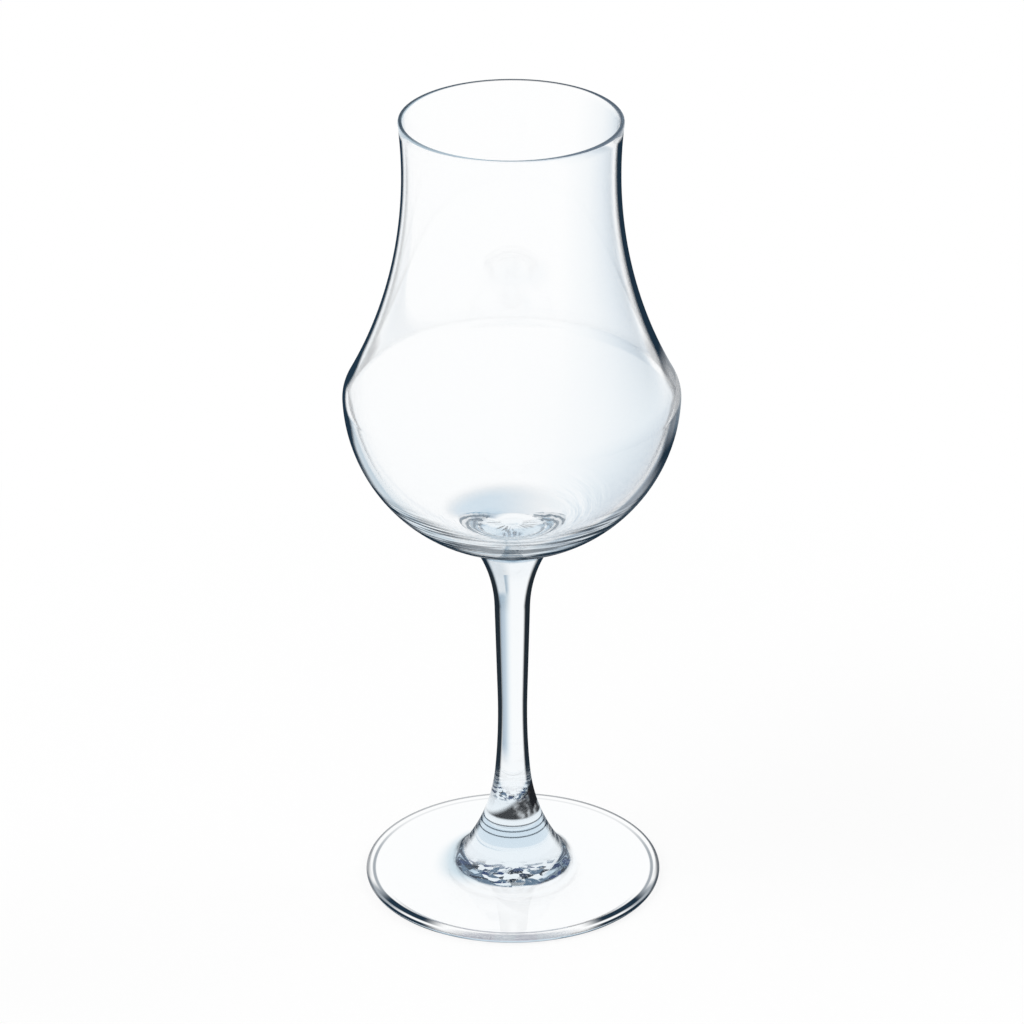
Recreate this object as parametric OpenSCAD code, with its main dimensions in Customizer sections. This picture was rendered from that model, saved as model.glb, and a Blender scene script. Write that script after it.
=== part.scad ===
// Stemmed nosing glass, one piece of clear glass: a tulip bowl with a chimney, a drawn stem and a foot.
// One section is turned about the Z axis. Its outline is a chain of arcs that run into each other.

/* [Overall] */
// Height from the table to the rim
height = 165; // [158:0.5:178]

/* [Bowl] */
// Diameter of the bowl at its widest ring
body_d = 66.5; // [60:0.5:74]
// Height of the widest ring above the table
body_z = 106.9; // [102:0.1:112]
// Height at which the ball of the bowl closes on the axis, over the stem
bowl_z = 74.65; // [71:0.05:79]
// Radius of the round at the widest ring
shoulder_r = 6.4; // [4:0.1:12]
// Diameter of the throat, the narrowest ring of the chimney
throat_d = 42.4; // [36:0.1:48]
// Distance of the throat below the rim
throat_drop = 10.8; // [6:0.1:16]

/* [Glass walls] */
// Wall at the widest ring
body_wall = 1.2; // [1:0.05:1.8]
// Wall at the throat
throat_wall = 0.9; // [0.8:0.05:1.4]
// Glass on the axis, between the floor of the bowl and the ball's underside
floor_wall = 2.4; // [2:0.1:4]

/* [Stem] */
// Diameter of the stem at its waist, the narrowest ring
waist_d = 5.9; // [5:0.1:7.5]
// Height of the waist above the table
waist_z = 37; // [35:0.5:42]
// Lean of the straight side between the waist and the bowl, in degrees
side_lean = 1.6; // [1:0.1:2.2]
// Radius of the hollow curve by which the stem widens towards the bowl
collar_r = 26.8; // [20:0.2:32]
// Radius of the fillet where that curve meets the bowl
collar_fillet_r = 6; // [4:0.5:6.5]
// Diameter of the ring where the fillet runs out on the bowl
collar_d = 21; // [20:0.5:26]

/* [Foot] */
// Diameter of the foot
foot_d = 60; // [54:0.5:70]
// Thickness of the foot at its rounded edge
edge_h = 2; // [1.6:0.1:2.6]
// Slope of the foot's upper face, in degrees
foot_slope = 6.3; // [4:0.1:8]
// Width of the flat ring under the foot, which touches the table
rest_w = 2; // [1:0.5:4]
// Depth of the hollow under the foot, on the axis
hollow_h = 1; // [0.5:0.1:1.5]
// Radius of the hollow curve by which the stem widens towards the foot
flare_r = 37; // [33:0.5:41]
// How much wider than the waist the stem would stay, on each side, with that curve alone
flare_offset = 0.45; // [0.3:0.05:0.8]
// Lean of that curve where it meets the fillet on the foot, in degrees from level
flare_lean = 34.5; // [30:0.5:38]
// Radius of the fillet where that curve meets the foot
flare_fillet_r = 6; // [4:0.5:7]

/* [Hidden] */
$fn = 180;

// Arcs that run into each other overlap by this much, so that they cross instead of only touching
lap = 0.002;
// How far a cut reaches past the height where the next arc takes over
reach = 1;

function sq(x) = x * x;
function unit(v) = v / norm(v);
function dir(a) = [cos(a), sin(a)];

// Foot: centre of the round edge, and the height of the upper face at distance x from the axis
edge_r = edge_h / 2;
edge_c = [foot_d / 2 - edge_r, edge_r];
upward = [sin(foot_slope), cos(foot_slope)];
function foot_top(x) = edge_c.y + edge_r / upward.y + (edge_c.x - x) * tan(foot_slope);
// Radius of the ball that hollows the underside, inside the ring that the foot rests on
hollow_r = (sq(edge_c.x - rest_w) + sq(hollow_h)) / (2 * hollow_h);

// Lower stem: centres of the hollow curve over the foot, its fillet and the long curve of the waist
flare_x = waist_d / 2 + flare_offset + flare_r;
flare_fillet_x = flare_x - (flare_r - flare_fillet_r) * cos(flare_lean);
flare_fillet_c = [flare_fillet_x, foot_top(flare_fillet_x) + flare_fillet_r / upward.y];
flare_c = flare_fillet_c + (flare_r - flare_fillet_r) * dir(flare_lean);
waist_r = sq(waist_z - flare_c.y) / (2 * flare_offset) + flare_r + flare_offset / 2;
waist_c = [waist_d / 2 + waist_r, waist_z];
// Where the fillet touches the foot, and the heights where one arc hands over to the next
toe = flare_fillet_c - flare_fillet_r * upward;
flare_low = flare_c.y - flare_r * sin(flare_lean);
flare_high = waist_z + waist_r * unit(flare_c - waist_c).y;

// Bowl: centre of the round at the widest ring, and the throat on the outside and on the inside
shoulder_c = [body_d / 2 - shoulder_r, body_z];
throat = [throat_d / 2, height - throat_drop];
inner_throat = throat - [throat_wall, 0];
inner_round_r = shoulder_r - body_wall;

// Height of the centre of a ball that closes at floor_z and runs into a round of radius r
function ball_y(r, floor_z) =
    (sq(shoulder_c.x) + sq(body_z) - sq(floor_z + r)) / (2 * (body_z - floor_z - r));
// Radius of a hollow curve that is upright at p and runs into that round
function chimney_r(r, p) =
    (sq(p.x - shoulder_c.x) + sq(p.y - body_z) - sq(r)) / (2 * (r - p.x + shoulder_c.x));
// Distance of such a curve from the axis at height z
function chimney_x(r, p, z) = p.x + chimney_r(r, p) - sqrt(sq(chimney_r(r, p)) - sq(z - p.y));

// Upper stem: the straight side, the curve that widens from it and the fillet under the bowl
ball_c = [0, ball_y(shoulder_r, bowl_z)];
ball_r = ball_c.y - bowl_z;
up_side = [sin(side_lean), cos(side_lean)];
off_side = [cos(side_lean), -sin(side_lean)];
side_foot = waist_c - waist_r * off_side;
collar_a = asin(collar_d / 2 / ball_r);
collar_fillet_c = ball_c + (ball_r + collar_fillet_r) * [sin(collar_a), -cos(collar_a)];
fillet_gap = (collar_fillet_c - side_foot) * off_side;
fillet_rise = (collar_fillet_c - side_foot) * up_side;
side_length = fillet_rise - sqrt(sq(collar_r - collar_fillet_r) - sq(collar_r - fillet_gap));
side_head = side_foot + side_length * up_side;
collar_c = side_head + collar_r * off_side;
collar_high = collar_c.y + collar_r * unit(collar_fillet_c - collar_c).y;
collar_top = ball_c.y - ball_r * cos(collar_a);

// Rim: a full round over the top of the wall
lip_z = height - throat_wall / 2;
lip_out = chimney_x(shoulder_r, throat, lip_z);
lip_in = chimney_x(inner_round_r, inner_throat, lip_z);
lip_r = (lip_out - lip_in) / 2 + lap;
lip_c = [(lip_out + lip_in) / 2, height - lip_r];

// Everything from the axis out to x, between two heights
module slab(x, low, high) {
    translate([0, low]) square([x, high - low]);
}

// The part of a circle between two heights
module round_slab(c, r, low, high) {
    intersection() {
        translate(c) circle(r);
        slab(c.x + r, low, high);
    }
}

// A bowl filled up to height top: the ball, the round at the widest ring and the chimney
module bowl_form(r, p, floor_z, top) {
    ball = [0, ball_y(r, floor_z)];
    chimney = p + [chimney_r(r, p), 0];
    round_low = body_z + r * unit(shoulder_c - ball).y;
    round_high = body_z + r * unit(chimney - shoulder_c).y;
    round_slab(ball, ball.y - floor_z, floor_z - reach, round_low);
    round_slab(shoulder_c, r + lap, round_low - reach, round_high + reach);
    slab(shoulder_c.x, round_low - reach, round_high + reach);
    difference() {
        slab(body_d / 2, round_high, top);
        translate(chimney) circle(chimney_r(r, p));
    }
}

// The foot: a shallow cone with a round edge, hollow beneath
module foot_form() {
    brink = edge_c + (edge_r - lap) * upward;
    difference() {
        union() {
            translate(edge_c) circle(edge_r);
            polygon([
                [0, 0],
                [edge_c.x, 0],
                brink,
                [0, brink.y + brink.x * tan(foot_slope)]
            ]);
        }
        translate([0, hollow_h - hollow_r]) circle(hollow_r, $fn = 256);
    }
}

// The stem: two blocks, cut back to the outline by arcs and by the straight side
module stem_form() {
    difference() {
        union() {
            slab(toe.x, toe.y - edge_r, waist_z + reach);
            slab(collar_fillet_c.x, waist_z, collar_top);
        }
        round_slab(flare_fillet_c, flare_fillet_r + 3 * lap, toe.y - reach, flare_low + reach);
        round_slab(flare_c, flare_r + 2 * lap, flare_low, flare_high + reach);
        round_slab(waist_c, waist_r + lap, flare_high, side_foot.y + reach);
        polygon([
            side_foot,
            side_foot + [collar_r, 0],
            side_head + [collar_r, 0],
            side_head
        ]);
        round_slab(collar_c, collar_r + lap, side_head.y - reach, collar_high);
        round_slab(collar_fillet_c, collar_fillet_r + 2 * lap, collar_high - reach, collar_top + reach);
    }
}

module wine_glass() {
    color([0.9, 0.94, 0.96, 0.5])
    rotate_extrude()
    union() {
        difference() {
            union() {
                foot_form();
                stem_form();
                bowl_form(shoulder_r, throat, bowl_z, lip_c.y);
            }
            bowl_form(inner_round_r, inner_throat, bowl_z + floor_wall, height);
        }
        translate(lip_c) circle(lip_r);
    }
}

wine_glass();
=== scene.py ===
import math

import bpy
import numpy as np
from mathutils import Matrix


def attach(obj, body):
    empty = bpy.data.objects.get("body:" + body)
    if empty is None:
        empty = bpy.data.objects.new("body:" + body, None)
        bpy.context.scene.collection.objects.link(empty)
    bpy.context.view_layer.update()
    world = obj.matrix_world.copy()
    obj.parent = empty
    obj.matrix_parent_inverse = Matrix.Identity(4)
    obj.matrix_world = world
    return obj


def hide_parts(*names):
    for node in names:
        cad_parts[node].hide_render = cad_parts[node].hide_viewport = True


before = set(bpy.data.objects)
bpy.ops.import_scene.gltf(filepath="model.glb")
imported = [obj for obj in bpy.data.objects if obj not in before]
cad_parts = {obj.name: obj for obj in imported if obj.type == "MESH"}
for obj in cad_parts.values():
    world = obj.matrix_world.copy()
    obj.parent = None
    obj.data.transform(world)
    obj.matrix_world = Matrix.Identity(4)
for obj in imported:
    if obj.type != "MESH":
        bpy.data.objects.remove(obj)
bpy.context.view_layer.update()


# The view of the photograph: a long lens that looks down on the glass from the front, at about 26
# degrees, so that the mouth and the foot show as open ellipses.
picture_width = 1024
focal_pixels = 5227.5
view = bpy.data.objects.new("view", bpy.data.cameras.new("view"))
view.data.sensor_width = 36.0
view.data.lens = focal_pixels / picture_width * view.data.sensor_width
view.data.clip_end = 60.0
view.data.dof.use_dof = False
view.location = (0.0, -0.9336, 0.5316)
view.rotation_euler = (math.radians(64.263), math.radians(0.13), math.radians(-0.062))
bpy.context.scene.collection.objects.link(view)
bpy.context.scene.camera = view
bpy.context.scene.view_settings.view_transform = "Standard"


class Wire:
    """The output of a shader node. On values, Python's + - * / add Math nodes."""

    def __init__(self, tree, socket):
        self.tree = tree
        self.socket = socket

    @classmethod
    def node(cls, tree, kind, settings=None, inputs=None, out=0):
        """One output of a new node: its settings come first, then each socket's value or link."""
        made = tree.nodes.new("ShaderNode" + kind)
        for name, value in (settings or {}).items():
            if name == "stops":
                ramp = made.color_ramp.elements
                while len(ramp) < len(value):
                    ramp.new(0.5)
                for stop, (place, colour) in zip(ramp, value):
                    stop.position = place
                    stop.color = (*colour, 1.0)
            else:
                setattr(made, name, value)
        for name, value in (inputs or {}).items():
            if isinstance(value, Wire):
                tree.links.new(value.socket, made.inputs[name])
            elif made.inputs[name].type == "RGBA":
                made.inputs[name].default_value = (*value, 1.0)
            else:
                made.inputs[name].default_value = value
        return cls(tree, made.outputs[out])

    def other(self, name):
        """Another output of the same node."""
        return Wire(self.tree, self.socket.node.outputs[name])

    def math(self, operation, *values):
        """A Math node on the values, or on this one where none is given."""
        inputs = dict(enumerate(values or (self,)))
        return Wire.node(self.tree, "Math", {"operation": operation}, inputs)

    def __add__(self, other):
        return self.math("ADD", self, other)

    def __radd__(self, other):
        return self.math("ADD", other, self)

    def __sub__(self, other):
        return self.math("SUBTRACT", self, other)

    def __rsub__(self, other):
        return self.math("SUBTRACT", other, self)

    def __mul__(self, other):
        return self.math("MULTIPLY", self, other)

    def __rmul__(self, other):
        return self.math("MULTIPLY", other, self)

    def __truediv__(self, other):
        return self.math("DIVIDE", self, other)

    def __rtruediv__(self, other):
        return self.math("DIVIDE", other, self)

    def hypot(self, other):
        """The root of the sum of the two squares."""
        return (self * self + other * other).math("SQRT")

    def ramp(self, low, high):
        """0 below low and 1 above high, with a smooth rise between them."""
        inputs = {"Value": self, "From Min": low, "From Max": high}
        return Wire.node(self.tree, "MapRange", {"interpolation_type": "SMOOTHSTEP"}, inputs)

    def band(self, start, full, fade, end):
        """1 from full to fade, and 0 below start and above end, with smooth flanks between them."""
        return self.ramp(start, full) * (1.0 - self.ramp(fade, end))

    def mix(self, first, second):
        """The colour first where this value is 0, and second where it is 1."""
        inputs = {"Factor": self, 6: first, 7: second}
        return Wire.node(self.tree, "Mix", {"data_type": "RGBA"}, inputs, out=2)


# The glass is one piece of clear glass, fire-polished all over: a blown bowl with a tall chimney, a
# stem drawn out of the bowl's foot, and a pressed round foot. Its outline is a chain of arcs that
# run into each other, in millimetres, turned about the axis.
height = 165.0
body_d, body_z, bowl_z, shoulder_r = 66.5, 106.9, 74.65, 6.4
throat_d, throat_drop = 42.4, 10.8
body_wall, throat_wall, floor_wall = 1.2, 0.9, 2.4
waist_d, waist_z, side_lean = 5.9, 37.0, math.radians(1.6)
collar_r, collar_fillet_r, collar_d = 26.8, 6.0, 21.0
foot_d, edge_h, foot_slope = 60.0, 2.0, math.radians(6.3)
rest_w, hollow_h = 2.0, 1.0
flare_r, flare_offset, flare_lean, flare_fillet_r = 37.0, 0.45, math.radians(34.5), 6.0


def point(x, y):
    return np.array([x, y], float)


def toward(start, end):
    """The unit vector from start to end."""
    return (end - start) / np.linalg.norm(end - start)


def bend(centre, start, end, count):
    """count + 1 points on the arc about centre, the short way from start to end, both included."""
    radius = np.linalg.norm(start - centre)
    first = math.atan2(*(start - centre)[::-1])
    sweep = math.atan2(*(end - centre)[::-1]) - first
    sweep = (sweep + math.pi) % (2 * math.pi) - math.pi
    angle = first + sweep * np.linspace(0.0, 1.0, count + 1)
    return centre + radius * np.column_stack([np.cos(angle), np.sin(angle)])


def span(start, end, count):
    """count + 1 points on the straight line from start to end."""
    return start + (end - start) * np.linspace(0.0, 1.0, count + 1)[:, None]


def bowl_arcs(round_r, throat_x, floor_z):
    """The centres of the ball and of the chimney's hollow curve, which touch the round of radius round_r
    at the widest ring: |centre - round| = radius - round_r inside, and radius + round_r outside."""
    throat_z = height - throat_drop
    drop = body_z - floor_z - round_r
    ball_y = (shoulder[0] ** 2 + body_z**2 - (floor_z + round_r) ** 2) / (2 * drop)
    rise = (throat_x - shoulder[0]) ** 2 + (throat_z - body_z) ** 2 - round_r**2
    return point(0, ball_y), point(throat_x + rise / (2 * (round_r - throat_x + shoulder[0])), throat_z)


# Foot: a hollow underside, the flat ring that it stands on, a round edge and a shallow cone
edge_r = edge_h / 2
edge = point(foot_d / 2 - edge_r, edge_r)
upward = point(math.sin(foot_slope), math.cos(foot_slope))
hollow_rim = point(edge[0] - rest_w, 0)
hollow = point(0, hollow_h - (hollow_rim[0] ** 2 + hollow_h**2) / (2 * hollow_h))

# Stem: a fillet and a hollow curve over the foot, the long curve of the waist and a straight side,
# then the hollow curve and the fillet under the bowl
fillet_x = waist_d / 2 + flare_offset + flare_r - (flare_r - flare_fillet_r) * math.cos(flare_lean)
foot_top = edge[1] + edge_r / upward[1] + (edge[0] - fillet_x) * math.tan(foot_slope)
fillet = point(fillet_x, foot_top + flare_fillet_r / upward[1])
lean = point(math.cos(flare_lean), math.sin(flare_lean))
flare = fillet + (flare_r - flare_fillet_r) * lean
waist_r = (waist_z - flare[1]) ** 2 / (2 * flare_offset) + flare_r + flare_offset / 2
waist = point(waist_d / 2 + waist_r, waist_z)
up_side = point(math.sin(side_lean), math.cos(side_lean))
off_side = point(math.cos(side_lean), -math.sin(side_lean))

# Bowl: its outer and inner arcs share the centre of the round at the widest ring
shoulder = point(body_d / 2 - shoulder_r, body_z)
inner_r = shoulder_r - body_wall
ball, chimney = bowl_arcs(shoulder_r, throat_d / 2, bowl_z)
inner_ball, inner_chimney = bowl_arcs(inner_r, throat_d / 2 - throat_wall, bowl_z + floor_wall)
ball_r = ball[1] - bowl_z
collar_a = math.asin(collar_d / 2 / ball_r)
collar_fillet = ball + (ball_r + collar_fillet_r) * point(math.sin(collar_a), -math.cos(collar_a))
side_foot = waist - waist_r * off_side
gap, rise = (collar_fillet - side_foot) @ off_side, (collar_fillet - side_foot) @ up_side
side_length = rise - math.sqrt((collar_r - collar_fillet_r) ** 2 - (collar_r - gap) ** 2)
side_head = side_foot + side_length * up_side
collar = side_head + collar_r * off_side

# Lip: a full round over the top of the wall
lip_z = height - throat_wall / 2
chimney_r = chimney[0] - throat_d / 2
inner_chimney_r = inner_chimney[0] - throat_d / 2 + throat_wall
lip_out = chimney[0] - math.sqrt(chimney_r**2 - (lip_z - chimney[1]) ** 2)
lip_in = inner_chimney[0] - math.sqrt(inner_chimney_r**2 - (lip_z - inner_chimney[1]) ** 2)
lip_r = (lip_out - lip_in) / 2
lip = point((lip_out + lip_in) / 2, height - lip_r)
brim = point(lip[0], height)

joints = [
    point(0, hollow_h),
    hollow_rim,
    point(edge[0], 0),
    edge + edge_r * upward,
    fillet - flare_fillet_r * upward,
    fillet - flare_fillet_r * lean,
    waist + waist_r * toward(waist, flare),
    side_foot,
    side_head,
    collar + collar_r * toward(collar, collar_fillet),
    collar_fillet + collar_fillet_r * toward(collar_fillet, ball),
    ball + ball_r * toward(ball, shoulder),
    shoulder + shoulder_r * toward(shoulder, chimney),
    lip + point(lip_r, 0),
    brim,
    lip - point(lip_r, 0),
    shoulder + inner_r * toward(shoulder, inner_chimney),
    shoulder + inner_r * toward(inner_ball, shoulder),
    point(0, bowl_z + floor_wall),
]
centres = [
    hollow, None, edge, None, fillet, flare, waist, None, collar, collar_fillet,
    ball, shoulder, chimney, lip, lip, inner_chimney, shoulder, inner_ball,
]
counts = [22, 3, 22, 10, 10, 16, 10, 5, 14, 10, 40, 16, 34, 9, 9, 34, 14, 44]
stretches = [
    span(start, end, count) if centre is None else bend(centre, start, end, count)
    for centre, start, end, count in zip(centres, joints, joints[1:], counts)
]
millimetre = 0.001
profile = np.concatenate([joints[:1]] + [stretch[1:] for stretch in stretches]) * millimetre


def turned(outline, around):
    """The surface (r cos t, r sin t, z) of an outline (r, z) that starts and ends on the axis, turned
    through around steps of t: one point at each pole, a ring for every other point."""
    t = np.arange(around) * 2 * math.pi / around
    r, z = outline[1:-1, 0, None], outline[1:-1, 1, None]
    rings = np.stack([r * np.cos(t), r * np.sin(t), z + 0 * t], axis=-1).reshape(-1, 3)
    points = np.concatenate([[[0, 0, outline[0, 1]]], rings, [[0, 0, outline[-1, 1]]]])
    here = np.arange(around)
    after = (here + 1) % around
    low = 1 + around * np.arange(len(outline) - 3)[:, None]
    quads = np.stack([low + here, low + after, low + around + after, low + around + here], axis=-1)
    top = 1 + around * (len(outline) - 3)
    under = np.stack([0 * here, 1 + after, 1 + here], axis=-1)
    over = np.stack([top + here, top + after, 0 * here + len(points) - 1], axis=-1)
    return points, quads.reshape(-1, 4).tolist() + under.tolist() + over.tolist()


steps_around = 288
points, faces = turned(profile, steps_around)
body = bpy.data.meshes.new("tasting_glass")
body.from_pydata(points, [], faces)
body.shade_smooth()
body.update()
glass = bpy.data.objects.new("tasting_glass", body)
bpy.context.scene.collection.objects.link(glass)

crystal = bpy.data.materials.new("clear_glass")
crystal.use_nodes = True
tree = crystal.node_tree

# Places on the glass, in millimetres: x, y, z and the distance from the axis. side runs from -1 on
# the left to 1 on the right, and depth from -1 in front to 1 behind. facing is 0 where the surface
# looks at the eye and 1 where it is seen edge on. outside is 1 on a surface met from the air, direct
# where no other wall is in front of it, cavity on the wall of the bowl's room and under where the
# surface looks down
place = Wire.node(tree, "TexCoord", out="Object")
split = Wire.node(tree, "SeparateXYZ", None, {"Vector": place})
x, y, z = (split.other(axis) / millimetre for axis in "XYZ")
radius = x.hypot(y)
side = x / radius
depth = y / radius
apart = side.math("ABSOLUTE")
ahead = y * -1.0
facing = Wire.node(tree, "LayerWeight", None, {"Blend": 0.5}, out="Facing")
surface = Wire.node(tree, "NewGeometry", out="Backfacing")
outside = 1.0 - surface
route = Wire.node(tree, "LightPath", out="Transmission Depth")
direct = 1.0 - route.ramp(0.5, 1.5)
normal = Wire.node(tree, "SeparateXYZ", None, {"Vector": surface.other("Normal")})
cavity = (normal * x + normal.other("Y") * y).ramp(-0.5, -1.5) * z.ramp(76.0, 78.0)
under = normal.other("Z").ramp(0.1, -0.1)

# Patterns: streaks that run round the glass, rays that run out from its axis, fine grain and a broad
# swell
hoop = Wire.node(tree, "CombineXYZ", None, {"X": side * 1.2, "Y": depth * 1.2, "Z": z * 1.4})
streaks = Wire.node(tree, "TexNoise", None, {"Vector": hoop, "Scale": 1.0, "Detail": 3.0})
fan = Wire.node(tree, "CombineXYZ", None, {"X": side * 9.0, "Y": depth * 9.0, "Z": radius * 0.2})
rays = Wire.node(tree, "TexNoise", None, {"Vector": fan, "Scale": 2.2, "Detail": 2.0})
broad_rays = Wire.node(tree, "TexNoise", None, {"Vector": fan, "Scale": 1.0, "Detail": 1.0})
grain = Wire.node(tree, "TexNoise", None, {"Vector": place, "Scale": 420.0, "Detail": 2.0})
swell = Wire.node(tree, "TexNoise", None, {"Vector": place, "Scale": 38.0, "Detail": 1.0})

# Where the wall is seen edge on, painted shade darkens it, as if the eye looked along it through so much
# glass that it turned dark: the sides of the stem, less so as they widen under the bowl, and the outline
# of the chimney. The bulge at the widest ring has a softer edge on the right
widening = z - 62.0
slope = widening.math("MAXIMUM", widening, 0.0) * 0.026
stem = z.band(15.0, 26.0, 75.5, 77.0) * (facing - slope).ramp(0.30, 0.42)
wall = z.band(92.0, 100.0, 162.4, 163.8)
bulge = z.band(100.0, 106.0, 112.0, 118.0)
outer = wall * (facing + side * 0.045 + bulge * 0.06).ramp(0.72, 0.80) * (1.0 - cavity)
outer = outer * (1.0 - bulge * side.ramp(0.4, 0.8) * 0.55)
inner = wall * (1.0 - z.ramp(152.0, 162.0)) * (facing + bulge * 0.06).ramp(0.78, 0.88) * cavity * 0.65
lower = z.band(76.0, 82.0, 92.0, 100.0) * (facing + side * 0.02).ramp(0.76, 0.86) * 0.88
lower = lower * (1.0 - cavity)

# Painted shade also darkens the rim, a streaked belt low on the bowl, the round edge of the foot, and
# two brows of thin lines on that edge, in front at the left and at the right
rim = z.ramp(164.78, 164.95) * depth.ramp(-1.0, -0.2) * (0.85 - side.ramp(0.3, 1.0) * 0.3)
belt = z.band(77.0, 79.0, 88.0, 94.0) * facing.ramp(0.50, 0.64) * under
belt = belt * streaks.ramp(0.45, 0.56) * (0.62 + apart.ramp(0.15, 0.6) * 0.3)
edge_zone = 1.0 - z.ramp(3.0, 4.0)
back = depth.ramp(0.2, 1.0)
front = (depth * -1.0).ramp(0.75, 1.0)
brink = (radius + back * 0.55).ramp(29.0, 29.3) * facing.ramp(0.45, 0.60) * edge_zone
brink = brink * (0.72 + side * 0.12 - back * 0.2 - front * 0.22)
brow = apart.band(0.45, 0.62, 0.84, 0.94) * ahead.ramp(4.0, 10.0)
brow = brow * radius.ramp(28.5, 28.8) * edge_zone * (z * 7.0).math("SINE").ramp(-0.9, 0.1)

# The thick root of the stem gathers the room into dark and white pieces; the dark ones are painted
# shade: a smoky dark patch that climbs on one side, thin rings under it, and dark flanks
painted_dark_patch = z.ramp(14.6, 15.1) * (1.0 - (z - side * 3.4).ramp(17.2, 18.8))
painted_dark_patch = painted_dark_patch * (0.95 - grain.ramp(0.50, 0.72) * 0.5) * (1.0 - depth.ramp(-0.2, 0.6) * 0.7)
lines = (z * 6.0).math("COSINE").ramp(0.50, 0.92) * z.band(11.0, 11.2, 14.4, 14.6)
flank = z.band(4.0, 5.0, 12.0, 15.0) * facing.ramp(0.50, 0.74)
flank = flank * (0.55 + streaks.ramp(0.4, 0.6) * 0.4)
# The painted shade: how much of the dark colour is mixed over the clear glass, summed from the marks
# above
painted_shade = stem + outer + lower + rim + belt + brink + brow + painted_dark_patch + lines * 0.75 + flank
painted_shade = (painted_shade * direct + inner) * outside

# Painted shade on the floor of the bowl draws the fillet under it as seen from above: a nest of dark
# rings, which lie off the axis towards the front, with spokes and a crest inside them, and a soft
# painted pool of shade behind
seat_y = (y + 2.9) * 1.33
oval = x.hypot(seat_y)
seat = z.band(73.0, 73.6, 76.7, 76.9) * radius.ramp(5.2, 5.6) * (1.0 - oval.ramp(12.2, 12.8))
ripple = (oval * 4.2 + streaks * 8.0).math("SINE")
nest = ripple.ramp(-0.5, 0.5) * (0.60 + streaks.ramp(0.4, 0.6) * 0.38)
nest = nest + apart.ramp(0.50, 0.9) * oval.ramp(8.5, 9.5) * 0.25
spokes = broad_rays.ramp(0.5, 0.62) * z.band(76.9, 77.0, 77.4, 77.6) * radius.band(2.0, 2.6, 5.4, 6.0)
spokes = spokes * ahead.ramp(-1.0, 1.5) * 0.7
crest = z.band(76.9, 77.0, 78.0, 78.3) * y.band(3.6, 4.6, 5.6, 6.6) * (1.0 - apart.ramp(0.55, 0.85))
crest = crest * (0.35 + rays.ramp(0.4, 0.6) * 0.35) * direct
pool = z.band(73.0, 73.6, 77.5, 79.0) * oval.ramp(11.4, 13.2) * (1.0 - radius.ramp(11.0, 17.0))
pool = pool * (x * -1.0).ramp(-15.0, 6.0) * y.ramp(-4.0, 3.0)

# Painted shade draws the edges of the flat ring that the foot stands on as two thin lines, and a painted
# blue shade lies on the collar's left
rest = radius.band(26.9, 27.15, 27.3, 27.55) * 0.75 + radius.band(28.5, 28.7, 28.9, 29.1) * 0.10
rest = rest * (1.0 - z.ramp(0.02, 0.08)) * ahead.ramp(10.0, 22.0)
collar_blue_shade = z.band(60.0, 65.0, 73.0, 75.0) * (side * -1.0).ramp(0.0, 0.4) * ahead.ramp(0.0, 1.0)
collar_blue_shade = collar_blue_shade * (1.0 - stem) * outside * direct
painted_shade = painted_shade + (seat * nest + rest + pool * 0.40) * (1.0 - outside)
painted_shade = painted_shade + (spokes + crest) * outside + collar_blue_shade * 0.30

# A wreath of facets of painted shade under the root shows through it, where the stem runs out on the
# foot. Each facet has three chances of its own: to be dark, to be navy and to be pale
facet_shade = (1.0 - z.ramp(1.05, 1.2)) * radius.band(0.9, 1.8, 10.4, 11.4) * ahead.ramp(-2.0, 2.0)
around = Wire.node(tree, "CombineXYZ", None, {"X": side * 2.4, "Y": depth * 2.4, "Z": radius * 0.42})
facet = Wire.node(tree, "TexVoronoi", None, {"Vector": around, "Scale": 1.9}, out="Color")
dark = Wire.node(tree, "SeparateColor", None, {"Color": facet})
navy = dark.other("Green")
pale = dark.other("Blue")
painted_shade = painted_shade + facet_shade * dark.ramp(0.38, 0.46) * (1.0 - rays.ramp(0.56, 0.62) * 0.5)
painted_shade = painted_shade.math("MINIMUM", painted_shade, 1.0)

# Flow and tool marks: the surface is very faintly wavy, and more so under the bowl
streak_zone = z.band(74.5, 76.0, 79.0, 84.0) * radius.ramp(3.0, 6.0)
relief = swell * 0.25 + streaks * streak_zone * 0.8
bump = Wire.node(tree, "Bump", None, {"Height": relief, "Distance": 0.0006, "Strength": 0.35})

gloss = tree.nodes["Principled BSDF"]
gloss.inputs["Base Color"].default_value = (1.0, 1.0, 1.0, 1.0)
gloss.inputs["Transmission Weight"].default_value = 1.0
gloss.inputs["IOR"].default_value = 1.52
gloss.inputs["Roughness"].default_value = 0.0
tree.links.new(bump.socket, gloss.inputs["Normal"])

# The painted shade is blue black, nearly grey on the drawn stem and brown in the smoky patch. On a
# surface met from inside the glass, which no lamp reaches, the painted colour glows faintly instead
black = (0.0, 0.0, 0.0)
dull = {"Roughness": 1.0, "Specular IOR Level": 0.0, "Emission Strength": 1.0}
patch_shade_brown = grain.ramp(0.50, 0.70).mix((0.018, 0.019, 0.022), (0.085, 0.058, 0.042))
shade = z.band(20.0, 30.0, 68.0, 74.0).mix((0.014, 0.032, 0.054), (0.018, 0.027, 0.036))
shade = painted_dark_patch.mix(collar_blue_shade.mix(shade, (0.25, 0.40, 0.52)), patch_shade_brown)
painted_inside_glow = navy.ramp(0.42, 0.60).mix((0.004, 0.009, 0.018), (0.010, 0.034, 0.120))
painted_inside_glow = pale.ramp(0.58, 0.66).mix(painted_inside_glow, (0.10, 0.16, 0.23))
painted_inside_glow = z.ramp(1.5, 3.0).mix(painted_inside_glow, (0.050, 0.100, 0.145))
painted_inside_glow = pool.mix(painted_inside_glow, (0.02, 0.30, 0.52))
painted_inside_glow = outside.mix(painted_inside_glow, black)
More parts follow.
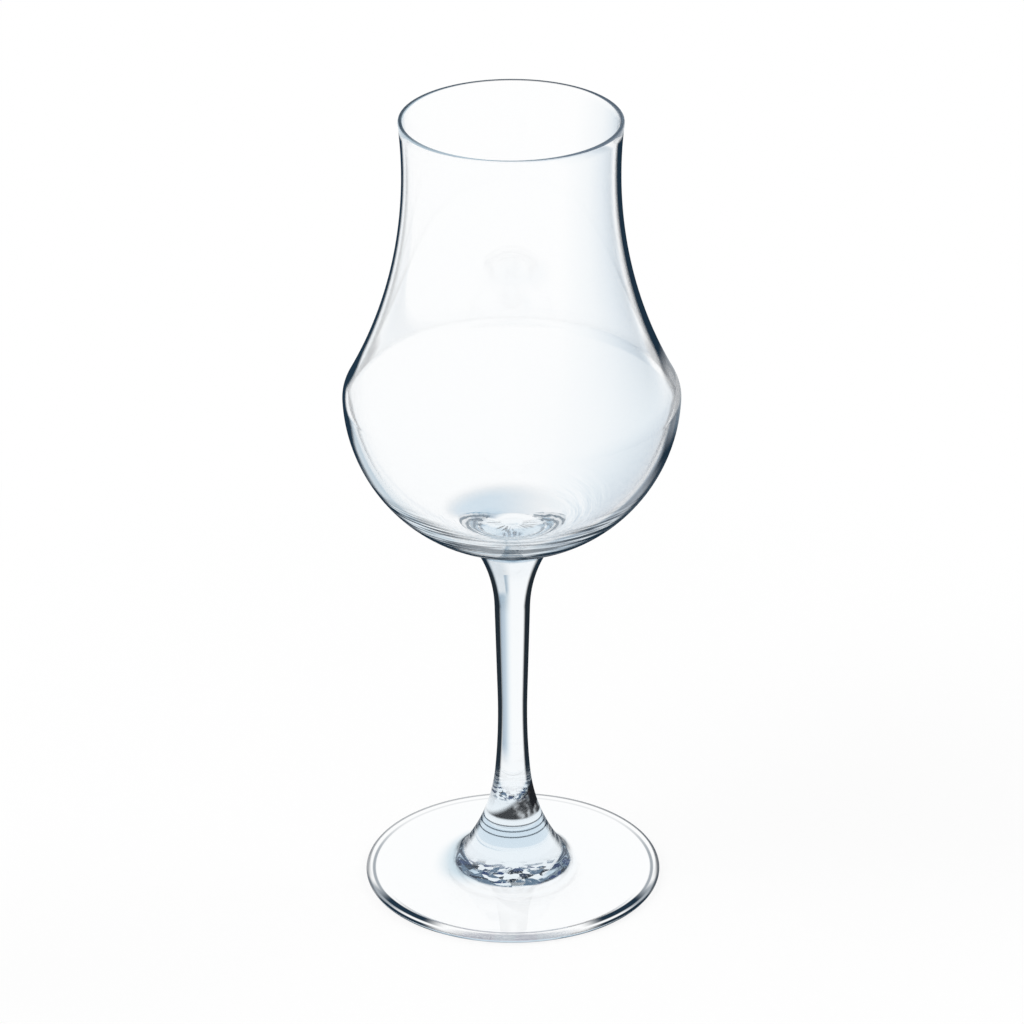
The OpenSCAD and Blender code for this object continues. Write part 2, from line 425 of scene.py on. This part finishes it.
painted_shade_bsdf = Wire.node(tree, "BsdfPrincipled", None, {"Base Color": shade, "Emission Color": painted_inside_glow, **dull})
both = Wire.node(tree, "MixShader", None, {0: painted_shade, 1: Wire(tree, gloss.outputs[0]), 2: painted_shade_bsdf})

# Where light has been thrown to and fro in the glass, the glass glows instead with a painted, dim,
# blurred piece of the room: pale in the root of the stem and dark at its flanks, streaked blue grey
# round the bowl
flecks = rays.ramp(0.50, 0.60).mix((0.05, 0.08, 0.12), (0.62, 0.70, 0.77))
root = apart.ramp(0.40, 0.80).mix((0.86, 0.90, 0.93), flecks)
bands = streaks.ramp(0.42, 0.58) * (1.0 - z.ramp(82.0, 92.0)) * 0.8
round_bowl = side.ramp(-0.6, 0.7).mix((0.46, 0.57, 0.65), (0.12, 0.17, 0.23))
round_bowl = bands.mix(round_bowl, (0.80, 0.87, 0.92))
painted_room_glow = z.ramp(70.0, 76.0).mix(z.ramp(30.0, 40.0).mix(root, (0.82, 0.88, 0.92)), round_bowl)
room_glow_bsdf = Wire.node(tree, "BsdfPrincipled", None, {"Base Color": black, "Emission Color": painted_room_glow, **dull})
bounces = route.other("Glossy Depth")
many_bounces = bounces.math("GREATER_THAN", bounces, 2.5)
both = Wire.node(tree, "MixShader", None, {0: many_bounces, 1: both, 2: room_glow_bsdf})
tree.links.new(both.socket, tree.nodes["Material Output"].inputs["Surface"])
thick = Wire.node(tree, "VolumeAbsorption", None, {"Color": (0.25, 0.55, 0.75), "Density": 12.0})
tree.links.new(thick.socket, tree.nodes["Material Output"].inputs["Volume"])
body.materials.append(crystal)
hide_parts("wine_glass")
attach(glass, "root")


# The floor is a wide white table top. It shows white in the picture and through the glass, and it
# keeps the shadow that the glass casts on it.
reach = 6.0
corners = [(-reach, -reach, 0), (reach, -reach, 0), (reach, reach, 0), (-reach, reach, 0)]
table = bpy.data.meshes.new("floor")
table.from_pydata(corners, [], [(0, 1, 2, 3)])
floor = bpy.data.objects.new("floor", table)
bpy.context.scene.collection.objects.link(floor)


def sight(tree):
    """1 where the camera itself looks, and 1 where it looks in or through the glass."""
    camera = Wire.node(tree, "LightPath", out="Is Camera Ray")
    through = camera.other("Is Glossy Ray") + camera.other("Is Transmission Ray")
    return camera, through.math("MINIMUM", through, 1.0)


def painted_studio_shade(tree, x, y):
    """The painted colour of the table round the glass, at x, y in metres, which stands for the studio
    round it: white, with a painted soft blue grey shade by the angle from straight behind, +Y, towards
    the right, +X. It is narrower far off."""
    turn = x.math("ARCTAN2", x, y) * (180 / math.pi)
    near = [
        (0.0, (1.0, 1.0, 1.0)),
        (0.08, (0.98, 0.985, 0.99)),
        (0.18, (0.91, 0.94, 0.96)),
        (0.30, (0.76, 0.83, 0.88)),
        (0.50, (0.50, 0.60, 0.69)),
        (0.78, (0.36, 0.45, 0.54)),
        (0.86, (0.50, 0.60, 0.68)),
        (0.93, (1.0, 1.0, 1.0)),
    ]
    far = [
        (0.0, (1.0, 1.0, 1.0)),
        (0.08, (1.0, 1.0, 1.0)),
        (0.14, (0.90, 0.93, 0.95)),
        (0.20, (0.72, 0.79, 0.85)),
        (0.25, (0.54, 0.63, 0.71)),
        (0.29, (0.42, 0.51, 0.59)),
        (0.32, (0.56, 0.65, 0.73)),
        (0.36, (1.0, 1.0, 1.0)),
    ]
    along = Wire.node(tree, "MapRange", None, {"Value": turn, "From Min": 0.0, "From Max": 40.0})
    close = Wire.node(tree, "ValToRGB", {"stops": near}, {"Fac": along})
    beyond = Wire.node(tree, "ValToRGB", {"stops": far}, {"Fac": along})
    return x.hypot(y).ramp(0.20, 0.30).mix(close, beyond)


plain_top = bpy.data.materials.new("white_table")
plain_top.use_nodes = True
tree = plain_top.node_tree
tree.nodes.remove(tree.nodes["Principled BSDF"])
camera, through = sight(tree)
x = Wire.node(tree, "SeparateXYZ", None, {"Vector": Wire.node(tree, "TexCoord", out="Object")})
y = x.other("Y")
distance = x.hypot(y)
white, grey = (1.0, 1.0, 1.0), (0.9, 0.9, 0.9)

# Seen through the glass, the table has painted shade: the painted studio shade beyond the foot, a dark
# ring of painted shadow where the foot stands on it, and a painted blue shade beside the root of the
# stem on the left
far = distance.ramp(0.034, 0.048) * through
ring = distance.band(0.0278, 0.0281, 0.0284, 0.0287) * (0.75 - y.ramp(0.004, 0.020) * 0.55) * through
beside = (1.0 - distance.ramp(0.0115, 0.0165)) * (x * -1.0).ramp(0.002, 0.010) * y.ramp(-0.010, -0.002)
shade = far.mix(white, painted_studio_shade(tree, x, y))
shade = ring.mix(shade, (0.10, 0.15, 0.20))
shade = (beside * through).mix(shade, (0.62, 0.74, 0.81))

# The camera sees a lit white, and some of the shadow on it near the glass
matt = Wire.node(tree, "BsdfDiffuse", None, {"Color": grey})
lit = Wire.node(tree, "BsdfPrincipled", None, {"Base Color": black, "Emission Color": shade, **dull})
share = through + camera * (0.85 + distance.ramp(0.10, 0.22) * 0.15)
cover = Wire.node(tree, "MixShader", None, {0: share, 1: matt, 2: lit})
tree.links.new(cover.socket, tree.nodes["Material Output"].inputs["Surface"])
table.materials.append(plain_top)


# The studio: two broad soft lamps high on either side of the table, and a plain white room round it.
# The lamps aren't seen in the glass, which shows only the room and the table.
def lamp(name, place, aim, width, depth, power):
    light = bpy.data.lights.new(name, "AREA")
    light.shape = "RECTANGLE"
    light.size, light.size_y = width, depth
    light.energy = power
    holder = bpy.data.objects.new(name, light)
    away = np.array(place, float) - np.array(aim, float)
    turn = math.atan2(away[0], -away[1])
    holder.location = place
    holder.rotation_euler = (math.atan2(math.hypot(away[0], away[1]), away[2]), 0.0, turn)
    holder.visible_glossy = False
    holder.visible_transmission = False
    bpy.context.scene.collection.objects.link(holder)


lamp("lamp_left", (-0.9, -0.3, 1.1), (0, 0, 0.08), 0.9, 0.9, 9.0)
lamp("lamp_right", (1.0, 0.4, 1.0), (0, 0, 0.08), 0.7, 0.7, 5.0)

room = bpy.data.worlds.new("room")
room.use_nodes = True
bpy.context.scene.world = room
tree = room.node_tree
camera, through = sight(tree)
tree.nodes["Background"].inputs["Color"].default_value = (*white, 1.0)
soft_light = 0.65
strength = soft_light + (1.0 - soft_light) * (through + camera)
tree.links.new(strength.socket, tree.nodes["Background"].inputs["Strength"])
